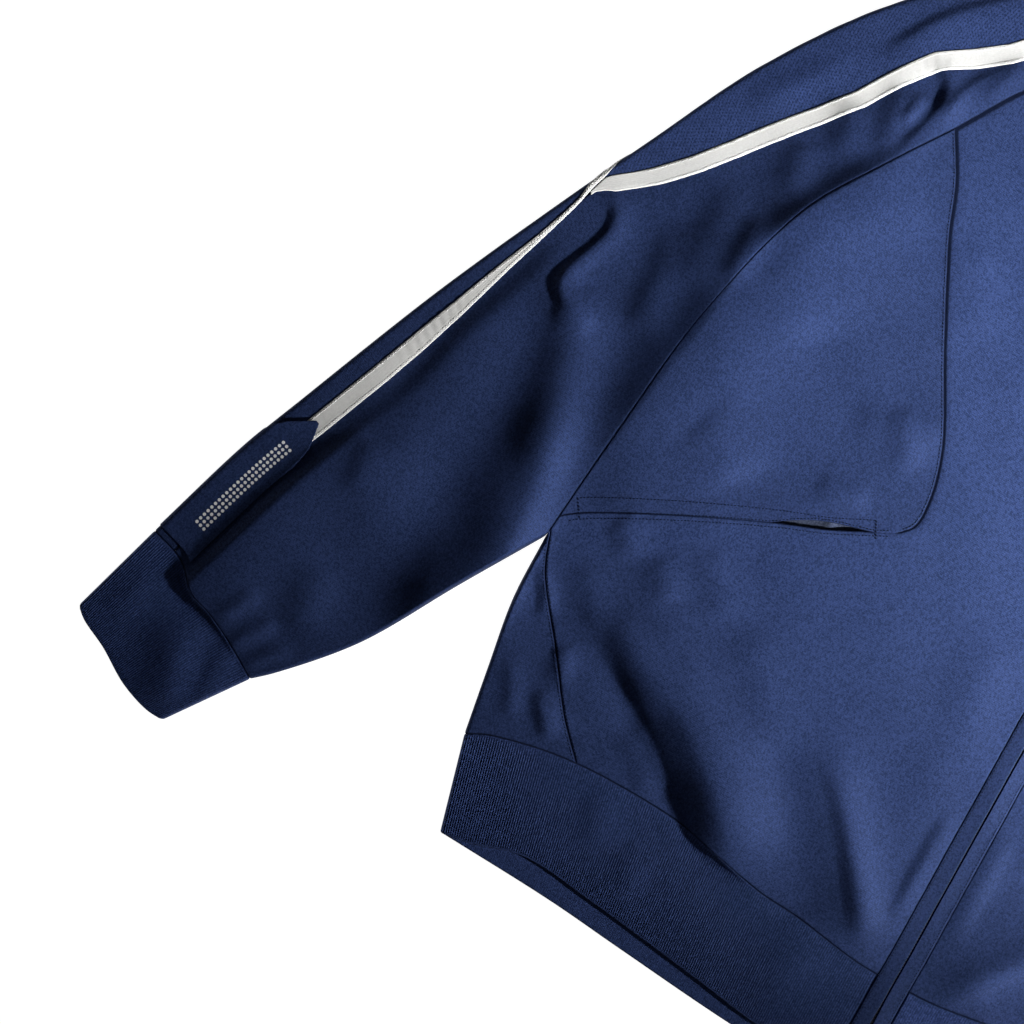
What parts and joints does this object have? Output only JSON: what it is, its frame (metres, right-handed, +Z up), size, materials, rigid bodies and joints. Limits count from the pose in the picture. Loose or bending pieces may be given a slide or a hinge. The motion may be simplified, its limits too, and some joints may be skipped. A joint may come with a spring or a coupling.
{
  "type": "track jacket",
  "caption": "Zipped raglan track jacket lying flat, front up, with taped sleeves, slanted chest pockets and rib collar, cuffs and hem.",
  "frame": {"origin": "on the floor, under the middle of the laid-out garment's outline", "axes": "+X towards the wearer's left sleeve, +Y from the hem towards the collar, +Z up from the floor, out of the jacket's front"},
  "size_m": [1.0698, 0.7866, 0.0213],
  "materials": {
    "knit": "smooth satin polyester knit, navy",
    "mesh_knit": "matt micro-hole knit, navy",
    "rib": "fine rib, dark navy",
    "tape": "matt woven tape, white",
    "pocket_lining": "matt lining, near black",
    "zip_tape": "zip tape with a moulded coil, near black",
    "metal": "dark lacquered metal, satin"
  },
  "bodies": {
    "garment": {"front_r": "knit", "chest_r": "knit", "side_panel_r": "knit", "sleeve_front_r": "knit", "sleeve_back_r": "knit", "sleeve_patch_r": "knit", "saddle_r": "mesh_knit", "cuff_r": "rib", "tape_front_r": "tape", "tape_back_r": "tape", "zip_cover_r": "knit", "pocket_facing_r": "pocket_lining", "front_l": "knit", "chest_l": "knit", "side_panel_l": "knit", "sleeve_front_l": "knit", "sleeve_back_l": "knit", "sleeve_patch_l": "knit", "saddle_l": "mesh_knit", "cuff_l": "rib", "tape_front_l": "tape", "tape_back_l": "tape", "zip_cover_l": "knit", "pocket_facing_l": "pocket_lining", "back": "knit", "hem_rib": "rib", "collar": "rib", "zip_tape": "zip_tape", "zip_slider": "metal"},
    "tab": {"pull_tab": "metal"}
  },
  "joints": [
    {"name": "tab_swing", "type": "hinge", "parent": "garment", "child": "tab", "pos_m": [0, 0.3065, 0.0098], "axis": [1, 0, 0], "range_deg": [-165, 0]}
  ]
}
